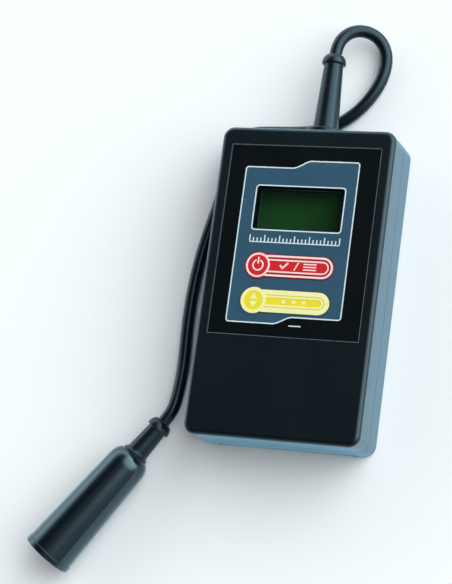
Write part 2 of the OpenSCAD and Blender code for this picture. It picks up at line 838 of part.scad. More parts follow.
// A flexible boot turned about its bore: inner flange, neck in the wall, outer flange, taper and bead
module boot_turned(length, root_r, neck_l, flange_r, flange_t) {
    soft = 0.4;
    bead_s = length - bead_l;
    bead_arc = [for (a = [0 : 15 : 90])
        [boot_bore_r + (bead_r - boot_bore_r) * cos(a), bead_s + soft + (bead_l - soft) * sin(a)]];
    rotate_extrude() polygon(concat(
        [[boot_bore_r, -neck_l - boot_inner_t], [boot_inner_r, -neck_l - boot_inner_t],
        [boot_inner_r, -neck_l], [boot_neck_r, -neck_l], [boot_neck_r, 0], [flange_r, 0],
        [flange_r, flange_t - soft], [flange_r - soft, flange_t], [root_r + soft, flange_t],
        [root_r, flange_t + 2 * soft], [boot_tip_r, bead_s], [bead_r - soft, bead_s]], bead_arc));
}

module cable_boot() {
    color("#22272c") translate([boot_x, half_l, boot_z]) rotate([-90, 0, 0])
        boot_turned(boot_l, boot_root_r, wall, boot_flange_r, boot_flange_t);
}

module probe_cable() {
    color("#15181b") tube(smooth_curve(lead_points), cable_r, 10);
}

// Probe: its own axis runs along +Z here, from the rear face to the sensing face
module at_probe(s) {
    translate(probe_point(s)) rotate([0, 90 - probe_lean, probe_heading]) children();
}

module probe_boot() {
    color("#22272c") at_probe(0) mirror([0, 0, 1])
        boot_turned(probe_boot_l, probe_boot_root_r, probe_back_t, probe_boot_root_r + probe_flange_t,
            probe_flange_t);
}

module probe_body() {
    shoulder = [for (a = [0 : 10 : 90])
        [probe_rear_r - shoulder_r + shoulder_r * sin(a), shoulder_l - shoulder_l * cos(a)]];
    color("#14171a") at_probe(0) rotate_extrude() polygon(concat(
        [[boot_neck_r + slide_gap, probe_back_t], [boot_neck_r + slide_gap, 0]], shoulder,
        [[probe_front_r, probe_l], [probe_bore_r, probe_l], [probe_bore_r, probe_back_t]]));
}

module probe_cap() {
    edge = 0.5;
    spigot_r = probe_bore_r - slide_gap;
    color("#0f1113") at_probe(probe_l) rotate_extrude() polygon([
        [0, 0], [core_r + slide_gap, 0], [core_r + slide_gap, -spigot_l], [spigot_r, -spigot_l],
        [spigot_r, 0], [rim_r, 0], [rim_r, cap_t - edge], [rim_r - edge, cap_t], [0, cap_t]]);
}

module probe_core() {
    color("#3b3d40") at_probe(core_s) cylinder(r = core_r, h = core_l);
}

module probe_bobbin() {
    color("#d8d3c4") at_probe(bobbin_s) rotate_extrude() polygon([
        [core_r + slide_gap, 0], [bobbin_r, 0], [bobbin_r, bobbin_flange], [bobbin_hub_r, bobbin_flange],
        [bobbin_hub_r, bobbin_l - bobbin_flange], [bobbin_r, bobbin_l - bobbin_flange],
        [bobbin_r, bobbin_l], [core_r + slide_gap, bobbin_l]]);
}

module probe_coil() {
    color("#b5652c") at_probe(bobbin_s + bobbin_flange) difference() {
        cylinder(r = coil_r, h = bobbin_l - 2 * bobbin_flange);
        translate([0, 0, -cut]) cylinder(r = bobbin_hub_r, h = bobbin_l);
    }
}

module coil_leads() {
    lead_x = core_r - 2 * wire_r;
    color("#b5482f") at_probe(lead_end) for (side = [-1, 1])
        translate([side * lead_x, 0, 0]) cylinder(r = wire_r, h = core_s - lead_end);
}

front_shell();
back_shell();
battery_door();
front_label();
display_window();
ok_key();
function_key();
ok_plunger();
function_plunger();
ok_switch();
function_switch();
lcd_frame();
lcd_glass();
lcd_backlight();
lcd_board();
display_header();
main_board();
microcontroller();
crystal();
regulator();
capacitor();
buzzer();
probe_socket();
battery_snap();
battery_leads();
case_screws();
board_screws();
cable_boot();
probe_leads();
probe_cable();
probe_boot();
probe_body();
probe_cap();
probe_core();
probe_bobbin();
probe_coil();
coil_leads();
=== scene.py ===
# %% [markdown]
# A hand-held coating thickness gauge
# The CAD model already holds every solid at its true size and place. This lesson dresses it: it
# sets the camera and the lead first, then gives each moulded piece softly rounded edges, prints the
# film front, and builds a material for each surface. All lengths below are in millimetres and are
# turned to Blender's metres with one factor.

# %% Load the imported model
import json
import math

import bmesh
import bpy
from mathutils import Matrix, Vector

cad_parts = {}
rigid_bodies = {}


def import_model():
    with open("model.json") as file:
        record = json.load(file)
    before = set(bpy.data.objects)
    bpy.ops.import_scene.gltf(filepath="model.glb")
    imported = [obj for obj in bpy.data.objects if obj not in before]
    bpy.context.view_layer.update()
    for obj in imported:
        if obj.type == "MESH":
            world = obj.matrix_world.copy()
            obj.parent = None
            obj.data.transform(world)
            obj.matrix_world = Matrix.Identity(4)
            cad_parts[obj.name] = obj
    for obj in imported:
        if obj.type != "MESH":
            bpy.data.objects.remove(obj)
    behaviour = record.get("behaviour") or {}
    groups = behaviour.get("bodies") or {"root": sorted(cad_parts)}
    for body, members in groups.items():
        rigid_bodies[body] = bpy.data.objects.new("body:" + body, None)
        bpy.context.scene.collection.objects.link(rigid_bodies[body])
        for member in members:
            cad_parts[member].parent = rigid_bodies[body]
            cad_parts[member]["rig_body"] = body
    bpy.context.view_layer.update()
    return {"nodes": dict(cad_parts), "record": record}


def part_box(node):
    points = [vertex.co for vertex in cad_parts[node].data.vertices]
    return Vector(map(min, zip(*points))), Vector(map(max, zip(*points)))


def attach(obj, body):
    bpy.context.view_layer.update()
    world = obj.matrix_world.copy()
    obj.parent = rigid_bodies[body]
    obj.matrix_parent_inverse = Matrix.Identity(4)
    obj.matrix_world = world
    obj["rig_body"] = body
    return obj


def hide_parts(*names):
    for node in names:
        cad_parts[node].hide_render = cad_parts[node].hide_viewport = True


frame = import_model()
nodes = frame["nodes"]
MM = 0.001
scene = bpy.context.scene
scene.view_settings.view_transform = "Standard"

# %% [markdown]
# The camera
# The gauge lies on its back and the camera looks down on it from the lower right, as in the
# photograph. A place, an aim and a lens say this more plainly than three angles do. The picture's
# upright leans a little from the case's length, which is one more angle. The lens is long, so the
# sides of the case run nearly parallel.

# %% Place the camera
camera_place = Vector((239.8, -157.9, 725.2)) * MM
camera_aim = Vector((-29.4, -2.8, 12.5)) * MM
picture_lean = math.radians(8.1)
lens_mm = 122.9
picture_height_mm = 36.0

camera_data = bpy.data.cameras.new("photo_camera")
camera_data.sensor_fit = "VERTICAL"
camera_data.sensor_height = picture_height_mm
camera_data.lens = lens_mm
camera = bpy.data.objects.new("photo_camera", camera_data)
scene.collection.objects.link(camera)
back = (camera_place - camera_aim).normalized()
upright = Vector((-math.sin(picture_lean), math.cos(picture_lean), 0))
right = upright.cross(back).normalized()
camera.matrix_world = Matrix.Translation(camera_place) @ Matrix(
    (right, back.cross(right), back)
).transposed().to_4x4()
scene.camera = camera
print("camera to aim, mm:", round((camera_place - camera_aim).length / MM))

# %% [markdown]
# The lead
# The lead is a limp round cable. It leaves the boot, turns down to the ground in one loop, passes
# under the boot, lies along the case and rises into the probe. A curve with a round bevel is the
# natural tool for it. A spline of order 4 follows its guide points without passing through them,
# which keeps every bend soft. Its first and last points are doubled so that it reaches its ends. The
# thickness is set by the radius of each point, because the curve's box follows that radius.

# %% Lay the lead along its guide points
lead_diameter = 5.0
lead_route = [
    (2.6, 54.2, 12.5), (2.6, 66.2, 12.5), (2.6, 79, 12.5), (2.6, 88, 12.5), (2.6, 97, 12.5),
    (3.8, 102.2, 11.8), (7.2, 106.1, 10), (11.8, 107.5, 7.5), (16.5, 106.1, 5), (19.8, 102.2, 3.2),
    (21.1, 97, 2.5), (20.6, 91.3, 2.5), (18.9, 86, 2.5), (16.1, 81, 2.5), (12.5, 76.3, 2.5),
    (8, 72.2, 2.5), (2.8, 69, 2.5), (-3, 66.9, 2.5), (-9.4, 66, 2.5), (-17.4, 65.7, 2.5),
    (-28.5, 65.7, 2.5), (-33.8, 64.3, 2.5), (-37.6, 60.5, 2.5), (-39, 55.2, 2.5), (-39.2, 49.5, 2.5),
    (-39.8, 43, 2.5), (-41.6, 33, 2.5), (-44.2, 22, 2.5), (-46.1, 11, 2.5), (-47, 0, 2.5),
    (-47.3, -10, 2.5), (-47.1, -19, 2.5), (-46.7, -27, 2.5), (-46.4, -33.5, 3.2), (-46.1, -40, 4.8),
    (-46.1, -45.4, 6.1), (-46.7, -49.6, 6.7), (-48.6, -53.5, 7), (-56.6, -64.9, 7.7),
    (-63.5, -74.7, 8.2),
]

lead_curve = bpy.data.curves.new("probe_lead", "CURVE")
lead_curve.dimensions = "3D"
lead_curve.bevel_depth = 1.0
lead_curve.bevel_resolution = 8
lead_curve.use_fill_caps = True
guides = [lead_route[0]] + lead_route + [lead_route[-1]]
spline = lead_curve.splines.new("NURBS")
spline.points.add(len(guides) - 1)
for point, guide in zip(spline.points, guides):
    point.co = (*(Vector(guide) * MM), 1)
    point.radius = lead_diameter / 2 * MM
spline.order_u = 4
spline.resolution_u = 6
probe_lead = bpy.data.objects.new("probe_lead", lead_curve)
scene.collection.objects.link(probe_lead)
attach(probe_lead, "case")
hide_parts("probe_cable")
print("lead guide points:", len(lead_route))

# %% [markdown]
# Colours, nodes and pieces
# Four small helpers serve the whole lesson. A colour is written as the hex value that a paint program
# shows, but a shader works in linear light, so the first turns one into the other. The second adds a
# node with its settings and links, the third starts a material, and the fourth turns a finished bmesh
# into an object at the origin, where the CAD nodes' objects are too.

# %% Helpers for colours, nodes and pieces
def hex_colour(text):
    """Turns an sRGB hex value to the linear colour that a shader works in."""
    parts = [int(text[i:i + 2], 16) / 255 for i in (1, 3, 5)]
    linear = [c / 12.92 if c <= 0.04045 else ((c + 0.055) / 1.055) ** 2.4 for c in parts]
    return (*linear, 1)


def add(tree, kind, inputs=None, **settings):
    """Adds a node with its settings; an input is a plain value or the output that it is linked to."""
    node = tree.nodes.new(kind)
    for name, value in settings.items():
        setattr(node, name, value)
    for socket, value in (inputs or {}).items():
        if isinstance(value, bpy.types.NodeSocket):
            tree.links.new(value, node.inputs[socket])
        else:
            node.inputs[socket].default_value = value
    return node


def new_material(name, **sockets):
    """Starts a material and sets the sockets of its shader that are the same all over."""
    material = bpy.data.materials.new(name)
    material.use_nodes = True
    shader = material.node_tree.nodes["Principled BSDF"]
    for socket, value in sockets.items():
        shader.inputs[socket.replace("_", " ")].default_value = value
    return material, material.node_tree, shader


def make_piece(name, bm):
    """Turns a finished bmesh into an object of its own at the origin."""
    mesh = bpy.data.meshes.new(name)
    bm.to_mesh(mesh)
    bm.free()
    piece = bpy.data.objects.new(name, mesh)
    scene.collection.objects.link(piece)
    return piece


print("mid grey in linear light:", round(hex_colour("#808080")[0], 3))

# %% [markdown]
# Ground and light
# A glossy black case is hard to light: its front mirrors whatever is above it, and its sides mirror
# the ground. A photographer puts it in a white tent with a dark card over it. The sky here does the
# same: it is bright all round and dark overhead, so the front stays black while the sides and the
# round probe pick up pale reflections. The tent's wall is dim on the viewer's side, which keeps the
# bottom end darker, and bright at the back. A soft box at the right gives the light its direction,
# and a weak, very broad sun from the same side fills in. Together they light the ground so that a
# colour shows about as it is written.

# %% Lay the ground
ground_half = 12000
ground_drop = 0.1
bm = bmesh.new()
bmesh.ops.create_grid(bm, x_segments=1, y_segments=1, size=ground_half * MM)
bmesh.ops.translate(bm, vec=(0, 0, -ground_drop * MM), verts=bm.verts)
ground = make_piece("ground", bm)
# Matt paper has no gloss, so the ground shows only the light and a soft shadow.
paper = new_material(
    "white_paper", Base_Color=hex_colour("#fbfdfe"), Roughness=0.9, Specular_IOR_Level=0.0,
)[0]
ground.data.materials.append(paper)
print("ground, m across:", 2 * ground_half * MM)

# %% Hang the tent, its card and the soft box
sun_strength = 0.4
sun_width = math.radians(120)
box_towards = Vector((0.74, 0.3, 0.6)).normalized()
box_bright = 3.2
box_edge = (0.66, 0.97)
tent_bright = 1.42
card_dark = 0.03
card_edge = (0.3, 0.75)
wall_turn = (-0.5, 0.5)
wall_front, wall_back = 0.2, 1.6

lamp = bpy.data.lights.new("soft_sun", "SUN")
lamp.energy = sun_strength
lamp.angle = sun_width
sun = bpy.data.objects.new("soft_sun", lamp)
sun.rotation_euler = box_towards.to_track_quat("Z", "Y").to_euler()
scene.collection.objects.link(sun)

world = bpy.data.worlds.new("tent_sky")
world.use_nodes = True
sky = world.node_tree
direction = add(sky, "ShaderNodeTexCoord").outputs["Generated"]
heading = add(sky, "ShaderNodeSeparateXYZ", {"Vector": direction}).outputs
tent = add(
    sky, "ShaderNodeMapRange",
    {"Value": heading["Z"], "From Min": card_edge[0], "From Max": card_edge[1],
     "To Min": tent_bright, "To Max": card_dark}, interpolation_type="SMOOTHSTEP",
)
towards_box = add(sky, "ShaderNodeVectorMath", {0: direction, 1: box_towards}, operation="DOT_PRODUCT")
softbox = add(
    sky, "ShaderNodeMapRange",
    {"Value": towards_box.outputs["Value"], "From Min": box_edge[0], "From Max": box_edge[1],
     "To Min": 0.0, "To Max": box_bright}, interpolation_type="SMOOTHSTEP",
)
wall = add(
    sky, "ShaderNodeMapRange",
    {"Value": heading["Y"], "From Min": wall_turn[0], "From Max": wall_turn[1],
     "To Min": wall_front, "To Max": wall_back},
)
walls = add(
    sky, "ShaderNodeMath", {0: tent.outputs["Result"], 1: wall.outputs["Result"]}, operation="MULTIPLY",
)
both = add(
    sky, "ShaderNodeMath", {0: walls.outputs["Value"], 1: softbox.outputs["Result"]}, operation="ADD",
)
background = sky.nodes["Background"]
background.inputs["Color"].default_value = hex_colour("#f3f9fc")
sky.links.new(both.outputs["Value"], background.inputs["Strength"])
scene.world = world
print("sky from", tent_bright, "down to", card_dark)

# %% [markdown]
# Moulded edges
# Real mouldings have no knife edges: each edge carries a small radius that catches the light. A CAD
# solid could have hundreds of fillets, but a bevel does the same work on a copy of its mesh. The copy
# is merged first, because the imported triangles are loose, and its flat faces are dissolved so that
# the bevel has clean edges to follow. Normals weighted by the size of the faces then keep the flat
# faces flat to the light, right up to the bevel.

# %% Copy the outer pieces and round their edges
merge_distance = 0.001
flat_angle = math.radians(0.5)
sharp_angle = math.radians(35)


def soft_edged(node, edge):
    """Copies a node as a piece whose sharp edges are rounded by edge, and lets it stand for the node."""
    bm = bmesh.new()
    bm.from_mesh(nodes[node].data)
    bmesh.ops.remove_doubles(bm, verts=bm.verts, dist=merge_distance * MM)
    bmesh.ops.dissolve_limit(
        bm, angle_limit=flat_angle, use_dissolve_boundaries=False,
        verts=bm.verts, edges=bm.edges, delimit={"SHARP"},
    )
    for face in bm.faces:
        face.smooth = True
    piece = make_piece(node + "_moulded", bm)
    if "custom_normal" in piece.data.attributes:
        piece.data.attributes.remove(piece.data.attributes["custom_normal"])
    piece.data.set_sharp_from_angle(angle=sharp_angle)
    bevel = piece.modifiers.new("soft_edge", "BEVEL")
    bevel.width = edge * MM
    bevel.segments = 3
    bevel.limit_method = "ANGLE"
    bevel.angle_limit = sharp_angle
    bevel.harden_normals = True
    flat = piece.modifiers.new("flat_faces", "WEIGHTED_NORMAL")
    flat.keep_sharp = True
    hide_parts(node)
    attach(piece, nodes[node]["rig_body"])
    return piece


edge_radius = {
    "front_shell": 0.2, "back_shell": 0.15, "battery_door": 0.15, "front_label": 0.08,
    "display_window": 0.05, "ok_key": 0.12, "function_key": 0.12, "probe_cap": 0.15,
    "probe_body": 0.15, "cable_boot": 0.2, "probe_boot": 0.2, "case_screws": 0.08,
    "battery_snap": 0.12,
}
moulded = {node: soft_edged(node, edge) for node, edge in edge_radius.items()}
print("pieces with soft edges:", len(moulded))

# %% [markdown]
# The probe's pieces are gathered here, and not where the lead was laid, because its moulded pieces had
# to be made first.

# %% Gather the probe's pieces on the lead
probe_pieces = [moulded["probe_boot"], moulded["probe_body"], moulded["probe_cap"]]
probe_pieces += [nodes[n] for n in ("probe_core", "probe_bobbin", "probe_coil", "coil_leads")]
print("pieces on the lead:", len(probe_pieces))

# %% [markdown]
# Print on the film front
# The front is a film with a stepped white outline, a white frame round the display and a row of scale
# marks. Ink could be painted by a material, but a thin layer of its own has clean edges from any
# distance. Each line of ink is a flat shape: a face through its corners, whose corners are bevelled
# round and which is inset by the width of the line. The rim of the inset is the line. It is raised by
# the thickness of the ink. A thin grey line all round the film's edge is made in that way too: it is a
# painted highlight, standing in for the light that the edge of the film's recess catches.

# %% Shapes for ink
ink_thickness = 0.03
disc_sides = 64
corner_segments = 8


def flat_shape(corners, radius=0.0, line=0.0):
    """A flat face through corners, rounded by radius; with a line width, only its rim is kept."""
    bm = bmesh.new()
    bm.faces.new([bm.verts.new((x * MM, y * MM, 0)) for x, y in corners])
    bm.normal_update()
    if radius:
        bmesh.ops.bevel(
            bm, geom=bm.verts[:], offset=radius * MM, offset_type="OFFSET", affect="VERTICES",
            segments=corner_segments, profile=0.5, material=-1, clamp_overlap=True,
        )
        bmesh.ops.remove_doubles(bm, verts=bm.verts, dist=merge_distance * MM)
    return keep_rim(bm, line)


def disc(x, y, radius, line=0.0):
    """A flat disc, or a ring of the given line width."""
    bm = bmesh.new()
    bmesh.ops.create_circle(
        bm, cap_ends=True, radius=radius * MM, segments=disc_sides,
        matrix=Matrix.Translation((x * MM, y * MM, 0)),
    )
    return keep_rim(bm, line)


def keep_rim(bm, line):
    """Insets the one face by the line width and drops what is inside it."""
    if line:
        inside = bm.faces[:]
        bmesh.ops.inset_region(
            bm, faces=inside, thickness=line * MM, use_even_offset=True, use_boundary=True,
        )
        bmesh.ops.delete(bm, geom=inside, context="FACES")
    shape = bpy.data.meshes.new("shape")
    bm.to_mesh(shape)
    bm.free()
    return shape


def bar(x0, x1, y0, y1, radius=0.0, line=0.0):
    """A flat upright rectangle between two corners."""
    return flat_shape([(x0, y0), (x1, y0), (x1, y1), (x0, y1)], radius, line)


def printed(name, shapes, level, node):
    """Raises flat shapes to one layer of ink, the first, second and so on above a node's top."""
    bm = bmesh.new()
    for shape in shapes:
        bm.from_mesh(shape)
        bpy.data.meshes.remove(shape)
    raised = bmesh.ops.extrude_face_region(bm, geom=bm.faces[:])["geom"]
    raised_points = [v for v in raised if isinstance(v, bmesh.types.BMVert)]
    bmesh.ops.translate(bm, vec=(0, 0, ink_thickness * MM), verts=raised_points)
    film_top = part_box(node)[1].z
    bmesh.ops.translate(bm, vec=(0, 0, film_top + (level - 1) * ink_thickness * MM), verts=bm.verts)
    bmesh.ops.recalc_face_normals(bm, faces=bm.faces)
    piece = make_piece(name, bm)
    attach(piece, nodes[node]["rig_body"])
    return piece


print("ink thickness, mm:", ink_thickness)

# %% Print the outline, the display's frame and the scale marks
outline_corners = [
    (-23.5, -16.9), (-3.4, -16.9), (2.1, -14.0), (22.4, -14.0),
    (22.4, 48.0), (2.0, 48.0), (-3.3, 45.0), (-23.5, 45.0),
]
line_width = 0.48
outline_radius, frame_radius = 1.3, 1.5
display_low, display_high = (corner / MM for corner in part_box("lcd_glass"))
display_y = (display_low.y + display_high.y) / 2
display_frame = (18.2, 9.1)
dash = (2.1, 6.9, -17.35, -16.9)
label_lines = [
    flat_shape(outline_corners, outline_radius, line_width),
    bar(-display_frame[0], display_frame[0], display_y - display_frame[1], display_y + display_frame[1],
        frame_radius, line_width),
    bar(*dash),
]

mark_pitch, mark_count, mark_base = 1.5, 12, 15.2
mark_width, base_width = 0.44, 0.4
long_mark, short_mark, long_every = 2.6, 1.5, 4
scale_half = mark_count * mark_pitch
label_lines.append(bar(-scale_half, scale_half, mark_base - base_width, mark_base))
for mark in range(-mark_count, mark_count + 1):
    mark_x = mark * mark_pitch
    mark_top = mark_base + (short_mark if mark % long_every else long_mark)
    label_lines.append(bar(mark_x - mark_width / 2, mark_x + mark_width / 2, mark_base, mark_top))
label_print = printed("label_print", label_lines, 1, "front_label")
print("label lines:", len(label_lines))

# %% Draw a painted highlight along the film's edge
edge_highlight_width = 0.28
label_low, label_high = (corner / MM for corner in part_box("front_label"))
# A grey line all round the film: a painted highlight where the edge of the recess catches the light.
edge_highlight = bar(label_low.x, label_high.x, label_low.y, label_high.y, line=edge_highlight_width)
label_edge_highlight = printed("label_edge_highlight", [edge_highlight], 1, "front_label")
print("film, mm:", round(label_high.x - label_low.x, 1), "x", round(label_high.y - label_low.y, 1))

# %% [markdown]
# Print on the keys
# Each key is a round head with a bar. Two pale lines follow the bar's edge with a darker band between
# them, and a pale ring closes the head over them. The head carries a common sign: the power sign on
# the upper key and a pair of arrowheads on the lower one. The bars carry plain signs as well. A key is
# printed in four layers, as a screen printer would do it, so that a later layer covers an earlier one.

# %% Signs for the keys
head_x = -13.2
bar_end_x = 12.6
nearly_round = 0.995


def rounded_bar(half_height, line):
    """A bar from the head's centre to the key's right end, with round ends."""
    right_end = bar_end_x + half_height
    return bar(head_x, right_end, -half_height, half_height, nearly_round * half_height, line)


def moved(shape, y):
    """Moves a flat shape up to its key."""
    shape.transform(Matrix.Translation((0, y * MM, 0)))
    return shape


def power_sign():
    """A ring that is open at the top, and an upright stroke in the opening."""
    ring_radius, stroke, opening_half = 2.3, 0.6, 0.75
    stroke_low, stroke_high = 0.5, 3.2
    ring = disc(head_x, 0, ring_radius, stroke)
    bm = bmesh.new()
    bm.from_mesh(ring)
    centres = [(face, face.calc_center_median()) for face in bm.faces]
    opening = [
        face for face, centre in centres
        if centre.y > 0 and abs(centre.x - head_x * MM) < opening_half * MM
    ]
    bmesh.ops.delete(bm, geom=opening, context="FACES")
    bm.to_mesh(ring)
    bm.free()
    return [ring, bar(head_x - stroke / 2, head_x + stroke / 2, stroke_low, stroke_high)]


def arrow_signs():
    """Two arrowheads, one up and one down."""
    half_width, base, tip = 1.7, 0.45, 2.9
    up = flat_shape([(head_x - half_width, base), (head_x + half_width, base), (head_x, tip)])
    down = flat_shape([(head_x - half_width, -base), (head_x, -tip), (head_x + half_width, -base)])
    return [up, down]


def tick_and_list():
    """A tick, a slanting stroke and three short bars."""
    tick = flat_shape([(-4.6, 0.1), (-4.1, 0.6), (-3.3, -0.3), (-1.4, 1.6), (-0.9, 1.1), (-3.3, -1.3)])
    stroke = flat_shape([(1.2, -1.4), (1.75, -1.4), (3.2, 1.6), (2.65, 1.6)])
    list_left, list_right, half_width = 5.0, 10.2, 0.25
    rows = [bar(list_left, list_right, y - half_width, y + half_width) for y in (-1.0, 0.1, 1.2)]
    return [tick, stroke] + rows


def three_dots():
    """Three round dots in a row."""
    dot_radius = 0.8
    return [disc(x, 0, dot_radius) for x in (-1.0, 3.0, 7.0)]


print("key from head to bar's end, mm:", round(bar_end_x - head_x, 1))

# %% Print both keys
# A line along the bar is given by half its height and its width, the head's ring by radius and width.
key_prints = {}
for key, outer, inner, ring, head_sign, bar_sign in (
    ("ok_key", (4.15, 0.75), (2.6, 0.6), (4.8, 0.75), power_sign, tick_and_list),
    ("function_key", (4.35, 1.8), (2.15, 0.75), (5.1, 1.35), arrow_signs, three_dots),
):
    key_y = sum(corner.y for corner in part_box(key)) / 2 / MM
    between = outer[0] - outer[1]
    layers = {
        "band": [rounded_bar(between, between - inner[0])],
        "lines": [rounded_bar(*outer), rounded_bar(*inner)] + bar_sign(),
        "head": [disc(head_x, 0, ring[0])],
        "signs": [disc(head_x, 0, *ring)] + head_sign(),
    }
    for level, (part, shapes) in enumerate(layers.items(), start=1):
        shapes = [moved(shape, key_y) for shape in shapes]
        key_prints[key, part] = printed(f"{key}_{part}", shapes, level, key)
print("key prints:", len(key_prints))

# %% [markdown]
# Moulded plastics
# The case is black ABS from a finely eroded mould: a satin black with a grain that the fingers feel
# more than the eye sees. Noise at the size of that grain drives the bump, and broad noise makes the
# gloss a little uneven, as on any moulding. The texture also scatters light at a glancing angle, so
# the sides of the case look pale blue while the front stays black. The shader's sheen is made for
# such a haze, and a cool tint gives it its colour. Real mould grain is finer than a pixel here, so
# every grain is drawn coarser than it is.

# %% Plastics on the outside
def grained(name, colours, patch, rough, grain, relief, **sockets):
    """A moulded surface: two near colours in patches, uneven gloss, and a fine grain in relief."""
    material, tree, shader = new_material(name, **sockets)
    place = add(tree, "ShaderNodeTexCoord").outputs["Object"]
    broad = add(tree, "ShaderNodeTexNoise", {"Vector": place, "Scale": 1 / (patch * MM), "Detail": 3.0})
    tint = add(
        tree, "ShaderNodeMix", {"Factor": broad.outputs["Fac"], 6: hex_colour(colours[0]),
        7: hex_colour(colours[1])}, data_type="RGBA",
    )
    gloss = add(
        tree, "ShaderNodeMapRange",
        {"Value": broad.outputs["Fac"], "To Min": rough[0], "To Max": rough[1]},
    )
    fine = add(tree, "ShaderNodeTexNoise", {"Vector": place, "Scale": 1 / (grain * MM), "Detail": 2.0})
    bump = add(
        tree, "ShaderNodeBump",
        {"Height": fine.outputs["Fac"], "Strength": 1.0, "Distance": relief * MM},
    )
    tree.links.new(tint.outputs[2], shader.inputs["Base Color"])
    tree.links.new(gloss.outputs["Result"], shader.inputs["Roughness"])
    tree.links.new(bump.outputs["Normal"], shader.inputs["Normal"])
    return material


cool_haze = {
    "IOR": 1.53, "Specular_Tint": hex_colour("#b4dff2"),
    "Sheen_Roughness": 0.34, "Sheen_Tint": hex_colour("#90dcff"),
}
# ABS from an eroded mould: black from the front, a pale haze at a glancing angle.
abs_case = grained(
    "abs_moulded_black", ("#040608", "#080a0c"), patch=18, rough=(0.3, 0.38), grain=0.45, relief=0.01,
    Coat_Weight=0.2, Coat_Roughness=0.22, Sheen_Weight=1.0, **cool_haze,
)
# ABS from a polished mould: long clear streaks of light on the round probe.
abs_polished = grained(
    "abs_polished_black", ("#05090c", "#080d11"), patch=14, rough=(0.16, 0.22), grain=1.2, relief=0.003,
    Specular_IOR_Level=1.0, Coat_Weight=0.15, Coat_Roughness=0.16, Sheen_Weight=0.6, **cool_haze,
)
# Soft PVC: a broad gloss that follows every bend.
pvc_boot = grained(
    "pvc_soft_boot", ("#080b0d", "#0e1215"), patch=9, rough=(0.24, 0.32), grain=0.6, relief=0.01,
    Sheen_Weight=0.4, **cool_haze,
)
pvc_lead = grained(
    "pvc_lead_jacket", ("#06090b", "#0b0e11"), patch=12, rough=(0.24, 0.32), grain=0.9, relief=0.012,
    Sheen_Weight=0.4, **cool_haze,
)
for node in ("front_shell", "back_shell", "battery_door"):
    moulded[node].data.materials.append(abs_case)
for node in ("probe_body", "probe_cap"):
    moulded[node].data.materials.append(abs_polished)
for node in ("cable_boot", "probe_boot"):
    moulded[node].data.materials.append(pvc_boot)
lead_curve.materials.append(pvc_lead)
print("outer plastics:", [m.name for m in (abs_case, abs_polished, pvc_boot, pvc_lead)])

# %% Plastics and ferrite on the inside
# Acetal: a waxy white.
acetal_white = grained(
    "acetal_white", ("#e2dfd6", "#eceae2"), patch=8, rough=(0.35, 0.45), grain=0.5, relief=0.01,
)
# Filled nylon: dull, with a dry grain.
nylon_black = grained(
    "nylon_black", ("#1b1c1e", "#242528"), patch=6, rough=(0.45, 0.6), grain=0.35, relief=0.012,
)
nylon_cream = grained(
    "nylon_cream", ("#d9d3c0", "#e4dfce"), patch=6, rough=(0.45, 0.55), grain=0.35, relief=0.012,
)
# Milky acrylic: an even pale sheet that spreads the light behind the display.
diffuser_acrylic = grained(
    "acrylic_diffuser", ("#d2d5c4", "#dcdfd0"), patch=10, rough=(0.5, 0.6), grain=0.3, relief=0.008,
)
# Silicone wire: a soft, dusty red.
wire_silicone = grained(
    "silicone_wire_red", ("#9c2018", "#b02a22"), patch=5, rough=(0.45, 0.55), grain=0.4, relief=0.01,
)
# Shrink sleeve: a smooth skin with a clear gloss.
sleeve_blue = grained(
    "shrink_sleeve_blue", ("#16273a", "#1c3046"), patch=5, rough=(0.2, 0.3), grain=0.8, relief=0.006,
)
# Sintered ferrite: a dull grey that looks like stone.
ferrite = grained(
    "ferrite_sintered", ("#2f3134", "#3c3e41"), patch=3, rough=(0.55, 0.7), grain=0.25, relief=0.02,
)
moulded["battery_snap"].data.materials.append(nylon_black)


def dress(material, *names):
    """Gives CAD nodes that keep their own mesh a material."""
    for name in names:
        nodes[name].material_slots[0].material = material
    print(material.name, "on", ", ".join(names))


dress(acetal_white, "ok_plunger", "function_plunger")
dress(nylon_black, "ok_switch", "function_switch", "display_header")
dress(nylon_black, "microcontroller", "regulator", "buzzer")
dress(nylon_cream, "probe_socket", "probe_bobbin")
dress(diffuser_acrylic, "lcd_backlight")
dress(wire_silicone, "battery_leads", "probe_leads", "coil_leads")
dress(sleeve_blue, "capacitor")
dress(ferrite, "probe_core")

# %% [markdown]
# Printed film
# The front is a polyester film, printed black with a slate blue field inside the white outline. The
# field's upper and lower edges step with the outline, and a Map Range node with its clamp makes just
# that step: flat, a slope, flat. Comparing the height with both edges gives the field. The display's
# surround stays black. The film is satin, with a grain that is drawn coarser than the real one.

# %% The film
film_mottle = 11
film_grain, film_relief = 0.6, 0.003
film_rough = (0.22, 0.3)


